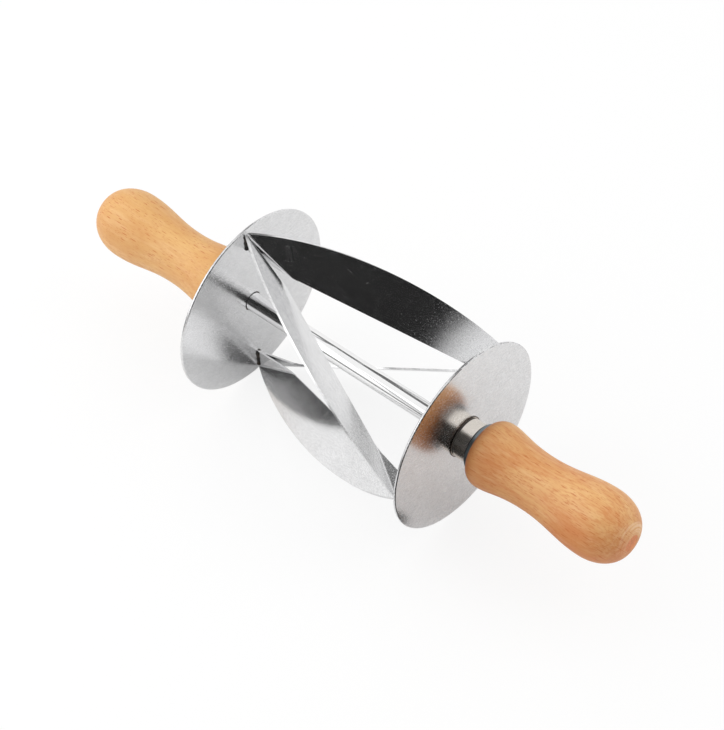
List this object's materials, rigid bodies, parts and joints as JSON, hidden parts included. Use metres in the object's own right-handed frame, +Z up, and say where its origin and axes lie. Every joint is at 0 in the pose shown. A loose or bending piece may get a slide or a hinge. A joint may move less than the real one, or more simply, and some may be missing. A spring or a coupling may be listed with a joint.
{
  "type": "croissant cutter roller",
  "caption": "Hand roller that cuts dough into triangles: round end discs joined by folded slanting blades, turning on a steel rod between turned wooden handles.",
  "frame": {"origin": "on the rod's axis, halfway between the two discs, which is the centre of the whole part", "axes": "+X along the rod from the left handle to the right one, +Z up, so that the blades meet the left disc at its top and bottom and the right disc at its back and front; +Y is the back"},
  "size_m": [0.3312, 0.1, 0.1],
  "materials": {
    "disc_steel": "satin",
    "blade_steel": "fine brushed",
    "rod_steel": "polished",
    "collar_steel": "polished",
    "bush_bronze": "machined",
    "slip_washer": "matte",
    "ferrule_steel": "satin",
    "beech": "oiled beech",
    "plug_wood": "end grain",
    "screw_steel": "zinc plated"
  },
  "bodies": {
    "rod_and_handles": {"axle_rod": "rod_steel", "left_handle": "beech", "left_ferrule_washer": "ferrule_steel", "left_thrust_washer": "slip_washer", "left_handle_screw": "screw_steel", "left_screw_washer": "screw_steel", "left_end_plug": "plug_wood", "right_handle": "beech", "right_ferrule_washer": "ferrule_steel", "right_thrust_washer": "slip_washer", "right_handle_screw": "screw_steel", "right_screw_washer": "screw_steel", "right_end_plug": "plug_wood"},
    "cutting_drum": {"blade_top_back": "blade_steel", "blade_top_front": "blade_steel", "blade_bottom_front": "blade_steel", "blade_bottom_back": "blade_steel", "left_disc": "disc_steel", "left_hub_collar": "collar_steel", "left_hub_bush": "bush_bronze", "right_disc": "disc_steel", "right_hub_collar": "collar_steel", "right_hub_bush": "bush_bronze"}
  },
  "joints": [
    {"name": "drum_spin", "type": "hinge", "parent": "rod_and_handles", "child": "cutting_drum", "pos_m": [0, 0, 0], "axis": [1, 0, 0], "continuous": true}
  ]
}
